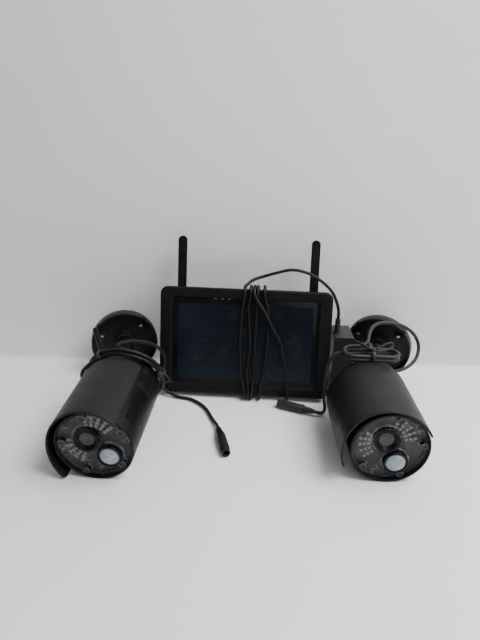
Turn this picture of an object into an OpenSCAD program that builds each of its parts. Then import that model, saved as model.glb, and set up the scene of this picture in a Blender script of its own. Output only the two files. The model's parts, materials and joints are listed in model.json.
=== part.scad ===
// Wireless camera set: a tablet-style monitor with two flip antennas, two
// bullet cameras on folding wall brackets, and the plug-in power adapter.
// Everything is laid out on one table, X to the right, Y away, Z up.

/* [Monitor] */
// Width of the monitor housing
mon_w = 196; // [180:1:210]
// Height of the monitor housing
mon_h = 123.5; // [110:0.5:135]
// Corner radius of the housing
mon_r = 8; // [4:1:12]
// Depth of the front frame
frame_d = 8; // [6:0.5:9]
// Lean of the monitor on its stand, degrees
mon_lean = 14.73; // [12:0.01:18]
// Turn of the monitor on the table, degrees
mon_yaw = -3.58; // [-8:0.01:8]
// Active picture width
lcd_w = 154; // [140:1:160]
// Active picture height
lcd_h = 86; // [80:1:92]
// Length of each flip antenna above its pivot
flip_len = 73; // [50:1:90]
// Width of a flip antenna
flip_w = 10; // [8:0.5:12]

/* [Bullet camera] */
// Outer radius of the camera tube
tube_r = 36.5; // [30:0.5:40]
// Length of the camera tube with its rear cap
tube_l = 105; // [90:1:130]
// Wall of the tube
tube_wall = 2.6; // [2:0.1:4]
// Outer radius of the sunshade
hood_r = 42.2; // [41:0.1:46]
// Sideways shift of the sunshade on its rail
hood_dx = -3.4; // [-4:0.1:0]
// Length that the sunshade stands out past the face
hood_out = 15; // [8:1:20]
// Radius of the lens ring
lens_r = 12; // [9:0.5:14]
// Height of the lens above the middle of the face
lens_up = 8.9; // [6:0.1:10]
// Radius of the motion sensor dome
pir_r = 10.2; // [8:0.1:12]
// Distance of the motion sensor below the middle of the face
pir_down = 16.7; // [14:0.1:18]
// Length of the camera antenna
whip_len = 55; // [40:1:60]

/* [Bracket] */
// Distance from the rear cap to the elbow pin
elbow_out = 16; // [14:1:20]
// Length of the arm from elbow pin to the base rim
arm_l = 84; // [70:1:100]
// Radius of the base dish
dish_r = 40; // [36:1:44]
// Depth of the base dish
dish_d = 13.5; // [12:0.5:16]
// Pitch circle of the wall screws
screw_pcd = 56; // [50:1:60]
// Radius of a wall screw hole
screw_r = 2.25; // [2:0.05:2.6]

/* [Leads] */
// Diameter of a camera lead
lead_d = 3.8; // [3.4:0.1:5]
// Diameter of the adapter's lead
cord_d = 3.6; // [3:0.1:4.5]

/* [Hidden] */
$fn = 48;
eps = 0.01;

// middle of the laid-out set on the table
lay = [14.5, 502, 0];
mon_at = [4.6, 534.5, 5.5];

// cameras: [middle of face, yaw, pitch, roll, elbow clocking, elbow bend,
//           antenna clocking, antenna fold, gland clocking]
cams = [
  [[-128.2, 391.4, 36.5], -4.3, 2.8, 51.6, -11.7, -20.0, 0, 37, 200],
  [[138.1, 396.5, 36.5], 0, 0, 23.9, -6.5, 22.6, 39, 0, -82]
];

pivot_v = 108;
flip_u = 77;
stand_v = 100;
stand_w = 19.5;
stand_open = 24;
stand_l = 98.3;
stand_u0 = -64;
stand_u1 = -24;
elbow_y = tube_l + elbow_out;

// ---- placing ----
module laid() { translate(-lay) children(); }
module on_monitor() { laid() translate(mon_at) rotate([0, 0, mon_yaw]) rotate([-mon_lean, 0, 0]) children(); }
// head frame: +Y runs back along the tube from the middle of the face
module on_axis(s) { laid() translate(cams[s][0]) rotate([0, 0, cams[s][1]]) rotate([cams[s][2], 0, 0]) children(); }
module on_head(s) { on_axis(s) rotate([0, -cams[s][3], 0]) children(); }
// stud frame: turned about the tube axis so that local Z is the elbow pin
module on_stud(s) { on_axis(s) translate([0, elbow_y, 0]) rotate([0, cams[s][4], 0]) children(); }
// arm frame: origin at the elbow pin, +Y along the arm to the base
module on_arm(s) { on_stud(s) rotate([0, 0, -cams[s][5]]) children(); }

// cylinder along +Y from y = a to y = b
module ycyl(r, a, b) { translate([0, a, 0]) rotate([-90, 0, 0]) cylinder(r = r, h = b - a); }
module ycone(r1, r2, a, b) { translate([0, a, 0]) rotate([-90, 0, 0]) cylinder(r1 = r1, r2 = r2, h = b - a); }
// box standing on u x v with depth w along +Y, round corners
module plate(w, h, r, y0, y1) {
  for (x = [-1, 1], z = [0, 1])
    translate([x * (w / 2 - r), 0, z ? h - r : r]) ycyl(r, y0, y1);
  translate([-w / 2 + r, y0, 0]) cube([w - 2 * r, y1 - y0, h]);
  translate([-w / 2, y0, r]) cube([w, y1 - y0, h - 2 * r]);
}
module up(v) { translate([0, 0, v]) children(); }

// ---- monitor ----
module front_frame() { color([0.10, 0.10, 0.10]) on_monitor() difference() {
  plate(mon_w, mon_h, mon_r, 0, frame_d);
  up(11.5) plate(166.4, 101, 3, -1, 3.4);
  up(15) plate(160.6, 96, 2, 3, frame_d + 1);
} }
module screen_glass() { color([0.02, 0.02, 0.03]) on_monitor() up(11.8) plate(165.8, 100.4, 2.8, 1.6, 3.3); }
module lcd_panel() { color([0.05, 0.06, 0.09]) on_monitor() up(15.5) translate([-80, 3.4, 0]) cube([160, 4.2, 95]); }
module monitor_board() { color([0.05, 0.25, 0.12]) on_monitor() {
  translate([-14, 10.5, 24]) cube([90, 1.6, 70]);
  translate([0, 12.1, 50]) cube([24, 2, 24]);
  translate([40, 12.1, 40]) cube([16, 3, 10]);
  translate([-14, 12.1, 84]) cube([16, 3.5, 8]);
} }
module rear_cover() { color([0.08, 0.08, 0.08]) on_monitor() {
  difference() {
    union() {
      up(2) plate(mon_w - 4, mon_h - 4, mon_r - 1, frame_d, 14);
      up(11.8) plate(176, 100, 6, 14 - eps, 21);
      for (x = [-1, 1]) translate([x * flip_u, 0, pivot_v]) ycyl(3, 20, 26.2);
    }
    difference() {
      union() {
        up(4.4) plate(mon_w - 8.8, mon_h - 8.8, 5, frame_d - 1, 11.8);
        up(14.2) plate(171, 95.2, 4, 11, 18.8);
      }
      // walls of the pocket that the stand folds into
      translate([stand_u0 - 3, 15, 3]) cube([stand_u1 - stand_u0 + 6, 10, stand_v + 5]);
      for (x = [-91, 91], z = [9, 114.5]) translate([x, 0, z]) ycyl(3, frame_d - 1, 12);
    }
    // pocket, open at the back
    translate([stand_u0 - 0.4, 17.2, 2]) cube([stand_u1 - stand_u0 + 0.8, 6, stand_v + 2.6]);
    // holes for the stand's pins
    translate([stand_u0 - 2.6, stand_w, stand_v]) rotate([0, 90, 0]) cylinder(r = 1.25, h = stand_u1 - stand_u0 + 5.2);
    // slot for the power button
    translate([-55.15, 9.35, mon_h - 8]) cube([10.3, 3.3, 8]);
    // socket for the adapter's plug
    translate([66, 0, 62]) ycyl(2.8, 17, 22);
    // speaker slots
    for (i = [0 : 4]) translate([58, 17, 30 + 4 * i]) cube([22, 6, 1.6]);
    for (x = [-91, 91], z = [9, 114.5]) translate([x, 0, z]) { ycyl(1.0, frame_d - 1, 15); ycyl(2.4, 12.6, 15); }
  }
} }
module case_screws() { color([0.25, 0.25, 0.26]) on_monitor()
  for (x = [-91, 91], z = [9, 114.5]) translate([x, 0, z]) difference() {
    union() { ycyl(1.0, frame_d + 0.5, 12.7); ycyl(2.3, 12.6, 13.8); }
    translate([-0.35, 13.2, -1.6]) cube([0.7, 1, 3.2]);
    translate([-1.6, 13.2, -0.35]) cube([3.2, 1, 0.7]);
  }
}
module kickstand() { color([0.09, 0.09, 0.09]) on_monitor() translate([0, stand_w, stand_v]) rotate([stand_open, 0, 0]) difference() {
  union() {
    translate([stand_u0, -1.4, -stand_l]) cube([stand_u1 - stand_u0, 2.8, stand_l]);
    translate([stand_u0 - 2.2, 0, 0]) rotate([0, 90, 0]) cylinder(r = 1.2, h = stand_u1 - stand_u0 + 4.4);
    translate([stand_u0, 0, 0]) rotate([0, 90, 0]) cylinder(r = 1.4, h = stand_u1 - stand_u0);
  }
  // shallow hollow in the back of the leg
  translate([stand_u0 + 6, 0.6, -stand_l + 10]) cube([stand_u1 - stand_u0 - 12, 2, 70]);
} }
module power_button() { color([0.13, 0.13, 0.13]) on_monitor() {
  translate([-55, 9.5, mon_h - 4.6]) cube([10, 3, 4]);
  translate([-57, 9, mon_h - 6.5]) cube([14, 2.6, 2]);
} }
module flip_antenna(x) { color([0.13, 0.13, 0.13]) on_monitor() translate([x * flip_u, 0, pivot_v]) difference() {
  union() {
    ycyl(flip_w / 2 + 0.5, 21.3, 25.6);
    translate([-flip_w / 2, 21.5, 0]) cube([flip_w, 4, flip_len - flip_w / 2]);
    translate([0, 0, flip_len - flip_w / 2]) ycyl(flip_w / 2, 21.5, 25.5);
  }
  ycyl(3.05, 20, 27);
} }
module left_flip_antenna() { flip_antenna(-1); }
module right_flip_antenna() { flip_antenna(1); }

// ---- bullet camera ----
module door_box(g) { rotate([0, 107, 0]) translate([-8 - g, 62 - g, 28]) cube([16 + 2 * g, 24 + 2 * g, 12]); }
module tube_housing(s) { color([0.07, 0.07, 0.07]) on_head(s) {
  difference() {
    ycyl(tube_r, 0, tube_l - 4.2);
    ycyl(tube_r - tube_wall, 4.4, tube_l);
    ycyl(tube_r - 1.6, -1, 4.4);
    door_box(0.3);
    rotate([0, 107, 0]) translate([8, 0, 35.9]) ycyl(1.0, 61.7, 86.3);
  }
  // raised ribs beside the hood edge
  for (i = [0 : 3]) rotate([0, 108, 0]) translate([-6, 14 + 5 * i, tube_r - 0.6]) cube([12, 1.6, 1.4]);
} }
module rear_cap(s) { color([0.06, 0.06, 0.06]) on_head(s) difference() {
  union() { ycyl(tube_r, tube_l - 4, tube_l); ycyl(tube_r - tube_wall - 0.2, tube_l - 9, tube_l - 3.9); }
  ycyl(6.05, tube_l - 12, tube_l + 1);
  rotate([0, cams[s][6], 0]) translate([0, 0, 27]) ycyl(2.6, tube_l - 12, tube_l + 1);
  rotate([0, -cams[s][8], 0]) translate([0, 0, 24]) ycyl(3.1, tube_l - 12, tube_l + 1);
  for (a = [45 : 90 : 315]) rotate([0, a + 15, 0]) translate([0, 0, 31.6]) ycyl(1.1, tube_l - 1.5, tube_l + 1);
} }
module sunshade(s) { color([0.17, 0.17, 0.17]) on_head(s) {
  intersection() {
    difference() {
      translate([hood_dx, 0, 0]) ycyl(hood_r, -hood_out, tube_l - 14);
      translate([hood_dx, 0, 0]) ycyl(hood_r - 2, -hood_out - 1, tube_l);
      // the hood's front edge slopes back towards its top
      translate([-60, -hood_out, -60]) rotate([-8, 0, 0]) translate([0, -30, 0]) cube([120, 30, 130]);
    }
    translate([-60, -hood_out - 5, 0.5]) cube([120, tube_l + 10, 60]);
  }
  // rail that the hood is screwed to the tube by
  translate([-5, 8, tube_r + 0.3]) cube([10, 62, hood_r - tube_r - 1.6]);
} }
module face_window(s) { color([0.16, 0.16, 0.17, 0.9]) on_head(s) difference() {
  ycyl(tube_r - 1.8, 1.4, 4.2);
  translate([0, 0, lens_up]) ycyl(lens_r + 0.1, 0, 6);
  translate([0, 0, -pir_down]) ycyl(pir_r + 0.1, 0, 6);
  for (a = [36 : 72 : 324]) rotate([0, a, 0]) translate([0, 0, 30.6]) { ycyl(1.05, 0, 6); ycyl(2.3, 0, 2.6); }
} }
module lens_barrel(s) { color([0.03, 0.03, 0.03]) on_head(s) translate([0, 0, lens_up]) difference() {
  union() { ycyl(lens_r, 0.4, 8); ycyl(8, 7.9, 24); }
  ycone(10.4, 6.2, 0, 4.4);
  ycyl(5.6, 4, 22);
} }
module lens_glass(s) { color([0.10, 0.08, 0.14]) on_head(s) translate([0, 0, lens_up]) {
  ycyl(5.5, 6, 8);
  intersection() { translate([0, 11, 0]) sphere(r = 7.6); ycyl(5.5, 3, 6.1); }
  ycyl(5.5, 14, 16);
} }
module pir_dome(s) { color([0.72, 0.76, 0.80]) on_head(s) translate([0, 0, -pir_down]) {
  difference() {
    intersection() { translate([0, 9.2, 0]) sphere(r = 12.6); ycyl(pir_r, -3.6, 4.2); }
    intersection() { translate([0, 9.2, 0]) sphere(r = 11.6); ycyl(pir_r - 1, -3.6, 5); }
  }
  difference() { ycyl(pir_r, 4.1, 6.2); ycyl(pir_r - 1.2, 4, 7); }
} }
module ir_board(s) { color([0.08, 0.10, 0.08]) on_head(s) difference() {
  ycyl(31.6, 6.3, 7.9);
  translate([0, 0, lens_up]) ycyl(lens_r + 0.4, 5, 9);
  translate([0, 0, -pir_down]) ycyl(9.6, 5, 9);
  for (a = [36 : 72 : 324]) rotate([0, a, 0]) translate([0, 0, 30.6]) ycyl(2.4, 5, 9);
} }
// two fans of small lamps, one each side of the lens
module ir_leds(s) { color([0.95, 0.90, 0.62]) on_head(s)
  for (q = [-1, 1], row = [0 : 2], i = [0 : 4])
    translate([0, 0, lens_up - 4]) rotate([0, q * (42 + 15.5 * i), 0]) translate([-1.3, 5.1, 15.6 + 4.0 * row]) 
      if (row < 2 || i > 0) cube([2.6, 1.2, 2.6]);
}
module main_board(s) { color([0.05, 0.25, 0.12]) on_head(s) {
  translate([-26, 26, -12]) cube([52, 62, 1.6]);
  translate([-8, 34, -10.4]) cube([16, 16, 2]);
  translate([12, 60, -10.4]) cube([10, 18, 5]);
  translate([-22, 60, -10.4]) cube([12, 12, 8]);
} }
module face_screws(s) { color([0.42, 0.42, 0.44]) on_head(s)
  for (a = [36 : 72 : 324]) rotate([0, a, 0]) translate([0, 0, 30.6]) difference() {
    union() { ycyl(1.0, 2.5, 9); ycyl(1.9, 1.8, 2.6); }
    translate([-0.3, 1.4, -1.4]) cube([0.6, 0.9, 2.8]);
    translate([-1.4, 1.4, -0.3]) cube([2.8, 0.9, 0.6]);
  }
}
module cable_gland(s) { color([0.04, 0.04, 0.04]) on_head(s) rotate([0, -cams[s][8], 0]) translate([0, 0, 24]) difference() {
  union() {
    ycyl(3.0, tube_l - 7, tube_l + 1); ycyl(4.6, tube_l, tube_l + 2.5);
    ycone(4.2, 3.0, tube_l + 2.4, tube_l + 10);
  }
  ycyl(lead_d / 2 + 0.05, tube_l + 8, tube_l + 11);
  for (i = [0 : 2]) difference() { ycyl(6, tube_l + 3.4 + 2.2 * i, tube_l + 4.4 + 2.2 * i); ycyl(2.9, tube_l, tube_l + 12); }
} }
module antenna_base(s) { color([0.05, 0.05, 0.05]) on_head(s) rotate([0, cams[s][6], 0]) translate([0, tube_l, 27]) {
  ycyl(2.5, -8, 0.1);
  ycyl(4.6, 0, 3);
  difference() {
    union() {
      for (x = [-3.7, 2.2]) translate([x, 0, 0]) rotate([0, 0, 0]) {
        translate([0, 2.9, -3]) cube([1.5, 4.1, 6]);
        translate([0, 7, 0]) rotate([0, 90, 0]) cylinder(r = 3, h = 1.5);
      }
    }
    translate([-5, 7, 0]) rotate([0, 90, 0]) cylinder(r = 1.05, h = 10);
  }
} }
module antenna(s) { color([0.05, 0.05, 0.05]) on_head(s) rotate([0, cams[s][6], 0]) translate([0, tube_l + 7, 27])
  rotate([cams[s][7], 0, 0]) {
    rotate([0, 90, 0]) translate([0, 0, -4.4]) cylinder(r = 1.0, h = 8.8);
    translate([-1.9, 0, 0]) rotate([0, 90, 0]) cylinder(r = 2.9, h = 3.8);
    translate([-1.9, 0, -2]) cube([3.8, 6, 4]);
    ycyl(3.0, 4.6, 8);
    // tapered whip with a rounded tip
    rotate([-90, 0, 0]) rotate_extrude() polygon(concat([[0, 7.9], [3.6, 7.9]],
      [for (i = [0 : 6]) [3.1 * cos(15 * i), whip_len - 3.1 + 3.1 * sin(15 * i)]]));
  }
}
module side_door(s) { color([0.06, 0.06, 0.06]) on_head(s) {
  intersection() {
    difference() { ycyl(tube_r + 0.3, 60, 88); ycyl(tube_r - 2.2, 59, 89); }
    door_box(0);
  }
  // hinge barrel, then the finger lip at the edge away from it
  rotate([0, 107, 0]) translate([8, 0, 35.9]) ycyl(0.92, 62, 86);
  rotate([0, 107, 0]) translate([-7.6, 70, tube_r - 1.4]) cube([1.4, 8, 2.2]);
} }
module tail_stud(s) { color([0.09, 0.09, 0.09]) on_stud(s) translate([0, -elbow_out, 0]) {
  ycyl(6.0, -11, 0.5);
  ycyl(10, 0.25, 3);
  difference() {
    union() {
      ycyl(8, 2.9, 6);
      for (z = [-8, 4]) { translate([-7, 5.5, z]) cube([14, elbow_out - 5.5, 4]); translate([0, elbow_out, z]) cylinder(r = 7, h = 4); }
      translate([-7, 2.9, -8]) cube([14, 3.1, 16]);
    }
    translate([0, elbow_out, -10]) cylinder(r = 2.55, h = 20);
  }
} }
module elbow_screw(s) { color([0.35, 0.35, 0.36]) on_stud(s) {
  translate([0, 0, -9]) cylinder(r = 2.5, h = 17.2);
  difference() { translate([0, 0, 8.1]) cylinder(r = 4.6, h = 2.4); translate([-0.5, -3.4, 9.3]) cube([1, 6.8, 2]); translate([-3.4, -0.5, 9.3]) cube([6.8, 1, 2]); }
  translate([0, 0, -10.6]) cylinder(r = 4.4, h = 2.4, $fn = 6);
} }
module arm(s) { color([0.09, 0.09, 0.09]) on_arm(s) difference() {
  union() {
    translate([0, 0, -3.7]) cylinder(r = 6.8, h = 7.4);
    translate([-5, 0, -3.7]) cube([10, 14, 7.4]);
    ycone(7, 6, 11, 18);
    ycyl(6, 17.9, arm_l - 22);
    ycone(6, 10, arm_l - 22.1, arm_l - 8);
    ycyl(10, arm_l - 8.1, arm_l - 1.2);
    ycyl(6, arm_l - 1.3, arm_l + 11.8);
  }
  translate([0, 0, -5]) cylinder(r = 2.57, h = 10);
} }
module base_dish(s) { color([0.06, 0.06, 0.06]) on_arm(s) translate([0, arm_l, 0]) difference() {
  union() {
    difference() { ycyl(dish_r, 0, dish_d); ycyl(dish_r - 2.4, -1, dish_d - 3.2); }
    // boss that the arm swivels in
    ycyl(13, -0.9, dish_d - 3.1);
    for (a = [0 : 120 : 240]) rotate([0, a + 60, 0]) translate([0, 0, screw_pcd / 2]) ycyl(5, 5.5, dish_d - 3.1);
  }
  ycyl(6.05, -2, dish_d + 1);
  for (a = [0 : 120 : 240]) rotate([0, a + 60, 0]) translate([0, 0, screw_pcd / 2]) ycyl(screw_r, 0, dish_d + 1);
  // notches in the rim, and the way out for a lead
  for (a = [-38, 52, 142, 232]) rotate([0, a, 0]) translate([-3, -1, dish_r - 5]) cube([6, 4.6, 8]);
  rotate([0, 180, 0]) translate([-4, 4, dish_r - 5]) cube([8, 12, 8]);
} }

// ---- leads ----
// vector helpers for a smooth round tube through a list of points
function unit(v) = v / norm(v);
function cr(p, i, t) = let (n = len(p) - 1,
    a = i == 0 ? 2 * p[0] - p[1] : p[i - 1], b = p[i], c = p[i + 1], d = i + 2 > n ? 2 * p[n] - p[n - 1] : p[i + 2])
  0.5 * (2 * b + (c - a) * t + (2 * a - 5 * b + 4 * c - d) * t * t + (3 * b - a - 3 * c + d) * t * t * t);
function smooth(p, k) = [for (i = [0 : len(p) - 2], j = [0 : k - 1]) cr(p, i, j / k), p[len(p) - 1]];
function tangents(q) = [for (i = [0 : len(q) - 1]) unit(q[min(i + 1, len(q) - 1)] - q[max(i - 1, 0)])];
// a side direction carried along the tube without twisting
function carry(t, i, s) = i >= len(t) ? [] : let (u = unit(s - t[i] * (s * t[i]))) concat([u], carry(t, i + 1, u));
module tube(p, r, k, side) {
  q = smooth(p, k); t = tangents(q); s = carry(t, 0, side); m = 8; n = len(q);
  polyhedron(
    points = [for (i = [0 : n - 1], j = [0 : m - 1]) q[i] + r * (cos(360 * j / m) * s[i] + sin(360 * j / m) * cross(t[i], s[i]))],
    faces = concat([[for (j = [0 : m - 1]) j]], [[for (j = [m - 1 : -1 : 0]) (n - 1) * m + j]],
      [for (i = [0 : n - 2], j = [0 : m - 1]) [i * m + j, (i + 1) * m + j, (i + 1) * m + (j + 1) % m, i * m + (j + 1) % m]]));
}
// routes on the table, before the layout shift
left_route = [[-126, 495.6, 86], [-117, 510, 84], [-104, 522, 78], [-92, 529, 70], [-84, 532, 58], [-84, 534, 44],
  [-88, 536, 30], [-88, 538, 16], [-82, 538, 6], [-70, 534, 2.3], [-54, 529, 2.3], [-38, 513, 2.3], [-28, 490, 2.4], [-22.5, 477, 4], [-19.9, 466.6, 5.2]];
right_route = [[158.5, 509.8, 49.2], [159.5, 513, 49.5], [167, 516, 51], [178, 517, 53], [189, 522, 57], [197, 529, 64], [199, 536, 75], [193, 541, 86],
  [181, 543, 94], [167, 542, 98], [153, 538, 99], [144, 531, 97], [139.5, 523.5, 92], [137.3, 516.6, 87]];
right_tail = [[104.8, 510.5, 75], [99.5, 510.5, 69], [96, 511.5, 58], [95, 514, 36], [95.5, 513, 17], [96.5, 507.5, 7], [93, 502.8, 4.5], [87.5, 502.9, 5], [81.96, 505.18, 5.2]];
adapter_route = [[113, 566, 89.3], [112, 566, 104], [105, 571, 121], [91, 575, 134], [75, 578, 142], [58, 580, 144.5],
  [42, 580, 141], [26, 580, 136], [14, 577, 132.5], [7, 573.5, 130.2]];

// last stretch, in the monitor's frame, from the turns to the plug
plug_route = [[56.3, 25, 100], [59, 29, 98], [64, 40, 95], [70, 54, 88], [72, 63, 77], [69, 62, 66.5], [66.4, 54, 62.4], [66, 46.3, 62]];

module lead(p, r, side) { translate(-lay) tube(p, r, 2, side); }
module left_lead() { color([0.05, 0.05, 0.05]) lead(left_route, lead_d / 2, [0, 0, 1]); }
module right_lead() { color([0.07, 0.07, 0.07]) { lead(right_route, lead_d / 2, [0, 0, 1]); lead(right_tail, lead_d / 2, [0, 1, 0]); } }
// turns of lead over the rear of the tube, hanging behind its cap
module left_coil() { color([0.05, 0.05, 0.05]) on_axis(0) translate([0, tube_l + 7, 5.5]) rotate([90 + 21.3, 0, 0])
  rotate_extrude() translate([38.5, 0]) circle(r = 4.4); }
// folded lead lying across the rear of the tube
module right_hank() { color([0.16, 0.16, 0.15]) translate(-lay) {
  translate([119.5, 500.9, 73.4]) cylinder(r = 12.4, h = 12.4);
  translate([156.5, 500.9, 73.4]) cylinder(r = 12.4, h = 12.4);
  translate([119.5, 488.5, 73.4]) cube([37, 24.8, 12.4]);
} }
module barrel_plug() {
  difference() {
    union() { ycyl(5, 0, 24); ycyl(4.4, 23.9, 30); ycone(2.7, 4.6, -12, 0.1); }
    ycyl(2.8, 20, 31);
    for (i = [0 : 3]) difference() { ycyl(6, -10.5 + 2.5 * i, -9.4 + 2.5 * i); ycyl(2.5, -12, 0); }
    ycyl(lead_d / 2 + 0.05, -13, -10);
  }
}
module left_plug() { color([0.04, 0.04, 0.04]) laid() translate([-17.6, 456.6, 5.2]) rotate([0, 0, -167]) barrel_plug(); }
module right_plug() { color([0.10, 0.10, 0.10]) laid() translate([72.5, 509, 5.2]) rotate([0, 0, 68]) barrel_plug(); }

// ---- power adapter ----
module adapter_case() { color([0.05, 0.05, 0.05]) laid() {
  difference() {
    union() {
      translate([108, 551, 0]) translate([12, 0, 0]) plate(24, 74, 4, 0, 36);
      translate([119, 554, 3]) cube([13, 30, 68]);
    }
    for (i = [0 : 3]) translate([112, 550, 46 + 5 * i]) cube([12, 1.6, 1.8]);
    translate([113, 566, 71]) cylinder(r = 3.05, h = 5);
  }
  // ribbed strain relief
  difference() {
    translate([113, 566, 71.2]) cylinder(r1 = 3.9, r2 = 3, h = 19.8);
    translate([113, 566, 89]) cylinder(r = cord_d / 2 + 0.05, h = 4);
    for (i = [0 : 4]) translate([113, 566, 76 + 2.6 * i]) difference() { cylinder(r = 6, h = 1.2); translate([0, 0, -1]) cylinder(r = 2.7, h = 4); }
  }
} }
module adapter_prongs() { color([0.80, 0.76, 0.60]) laid()
  for (y = [562.65, 575.35]) translate([0, y - 0.75, 0]) translate([92, 0, 13]) cube([16, 1.5, 6.3]);
}
module adapter_lead() { color([0.04, 0.04, 0.04]) {
  lead(adapter_route, cord_d / 2, [0, 1, 0]);
  on_monitor() tube(plug_route, cord_d / 2, 2, [0, 1, 0]);
} }
module adapter_plug() { color([0.04, 0.04, 0.04]) on_monitor() translate([66, 0, 62]) difference() {
  union() { ycyl(2.75, 14, 21.2); ycyl(4.6, 21.1, 38); ycone(4.2, 2.6, 37.9, 48); }
  ycyl(1.1, 13, 20);
  ycyl(cord_d / 2 + 0.05, 46, 49);
} }
// turns of the adapter's lead round the monitor
module adapter_winding() { color([0.04, 0.04, 0.04]) on_monitor() translate([-7, 0, 0]) rotate([90, 0, 90]) linear_extrude(61) difference() {
  polygon([[-3.9, -3.4], [8.6, -3.3], [17, -1.0], [25.2, 9], [25.2, 125], [21, 127.6], [-3.9, 127.6]]);
  polygon([[-0.2, -0.2], [8.2, -0.2], [8.2, 1.7], [14.2, 1.7], [14.2, 11.5], [21.2, 11.5], [21.2, 112], [14.2, 112],
    [14.2, 121.8], [8.2, 121.8], [8.2, 123.8], [-0.2, 123.8]]);
} }

front_frame();
screen_glass();
lcd_panel();
monitor_board();
rear_cover();
case_screws();
kickstand();
power_button();
left_flip_antenna();
right_flip_antenna();
tube_housing(0);  // left_tube_housing
rear_cap(0);  // left_rear_cap
sunshade(0);  // left_sunshade
face_window(0);  // left_face_window
lens_barrel(0);  // left_lens_barrel
lens_glass(0);  // left_lens_glass
pir_dome(0);  // left_pir_dome
ir_board(0);  // left_ir_board
ir_leds(0);  // left_ir_leds
main_board(0);  // left_main_board
face_screws(0);  // left_face_screws
cable_gland(0);  // left_cable_gland
antenna_base(0);  // left_antenna_base
antenna(0);  // left_antenna
side_door(0);  // left_side_door
tail_stud(0);  // left_tail_stud
elbow_screw(0);  // left_elbow_screw
arm(0);  // left_arm
base_dish(0);  // left_base_dish
left_lead();
left_coil();
left_plug();
tube_housing(1);  // right_tube_housing
rear_cap(1);  // right_rear_cap
sunshade(1);  // right_sunshade
face_window(1);  // right_face_window
lens_barrel(1);  // right_lens_barrel
lens_glass(1);  // right_lens_glass
pir_dome(1);  // right_pir_dome
ir_board(1);  // right_ir_board
ir_leds(1);  // right_ir_leds
main_board(1);  // right_main_board
face_screws(1);  // right_face_screws
cable_gland(1);  // right_cable_gland
antenna_base(1);  // right_antenna_base
antenna(1);  // right_antenna
side_door(1);  // right_side_door
tail_stud(1);  // right_tail_stud
elbow_screw(1);  // right_elbow_screw
arm(1);  // right_arm
base_dish(1);  // right_base_dish
right_lead();
right_hank();
right_plug();
adapter_case();
adapter_prongs();
adapter_lead();
adapter_winding();
adapter_plug();
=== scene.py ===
import json
import math
import random
import bpy
import bmesh
from mathutils import Matrix, Vector, noise

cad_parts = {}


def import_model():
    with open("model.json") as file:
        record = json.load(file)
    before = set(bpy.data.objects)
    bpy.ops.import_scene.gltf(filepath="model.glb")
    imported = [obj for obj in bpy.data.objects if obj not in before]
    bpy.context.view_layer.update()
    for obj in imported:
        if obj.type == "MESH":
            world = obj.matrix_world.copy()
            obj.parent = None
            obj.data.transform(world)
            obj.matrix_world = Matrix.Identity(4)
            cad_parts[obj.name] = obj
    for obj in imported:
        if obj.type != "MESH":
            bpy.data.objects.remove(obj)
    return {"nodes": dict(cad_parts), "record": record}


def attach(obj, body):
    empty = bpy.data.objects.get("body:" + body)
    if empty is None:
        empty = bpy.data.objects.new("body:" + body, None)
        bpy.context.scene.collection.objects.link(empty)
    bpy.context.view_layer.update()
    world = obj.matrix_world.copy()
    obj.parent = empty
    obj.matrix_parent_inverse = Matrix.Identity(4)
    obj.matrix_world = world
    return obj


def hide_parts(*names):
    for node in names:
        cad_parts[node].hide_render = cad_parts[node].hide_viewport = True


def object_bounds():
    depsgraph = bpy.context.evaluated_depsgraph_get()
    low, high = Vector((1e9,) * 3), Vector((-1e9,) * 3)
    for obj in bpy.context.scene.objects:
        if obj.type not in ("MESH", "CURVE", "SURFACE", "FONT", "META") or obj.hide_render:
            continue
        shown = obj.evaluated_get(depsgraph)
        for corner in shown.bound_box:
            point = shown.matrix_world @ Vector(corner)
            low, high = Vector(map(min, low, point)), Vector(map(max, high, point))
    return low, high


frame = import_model()
CAD_BOX = [[float(x) for x in v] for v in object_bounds()]
N = frame["nodes"]
random.seed(7)


# ---------------------------------------------------------------- frames (mm)
def T(x, y, z):
    return Matrix.Translation((x, y, z))


def R(a, ax):
    return Matrix.Rotation(math.radians(a), 4, ax)


MON = T(-9.9, 32.5, 5.5) @ R(-3.58, "Z") @ R(-14.73, "X")
LAY = Vector((14.5, 502.0, 0.0))
TL = 105.0
CAMS = {
    "left": dict(C=(-128.2, 391.4, 36.5), yaw=-4.3, pit=2.8, roll=51.6, clk=-11.7, bend=-20.0, fold=37, gland=200),
    "right": dict(C=(138.1, 396.5, 36.5), yaw=0.0, pit=0.0, roll=23.9, clk=-6.5, bend=22.6, fold=0, gland=-82),
}
AXIS, HEAD, STUD, ARM, GLAND = {}, {}, {}, {}, {}
for s, c in CAMS.items():
    AXIS[s] = T(*(Vector(c["C"]) - LAY)) @ R(c["yaw"], "Z") @ R(c["pit"], "X")
    HEAD[s] = AXIS[s] @ R(-c["roll"], "Y")
    STUD[s] = AXIS[s] @ T(0, 121, 0) @ R(c["clk"], "Y")
    ARM[s] = STUD[s] @ R(-c["bend"], "Z")
    GLAND[s] = HEAD[s] @ R(-c["gland"], "Y") @ T(0, 0, 24)
KIT = T(-LAY.x, -LAY.y, 0)
ID = Matrix.Identity(4)

# ---------------------------------------------------------------- camera
cam_data = bpy.data.cameras.new("shot_camera")
cam = bpy.data.objects.new("shot_camera", cam_data)
bpy.context.scene.collection.objects.link(cam)
cam_data.lens = 30.056
cam_data.sensor_width = 36
cam.matrix_world = T(-0.0145, -0.502, 0.3326) @ R(66.57, "X") @ Matrix.Rotation(0.0205, 4, "Z")
cam_data.clip_start = 0.01
cam_data.clip_end = 50
bpy.context.scene.camera = cam


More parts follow.
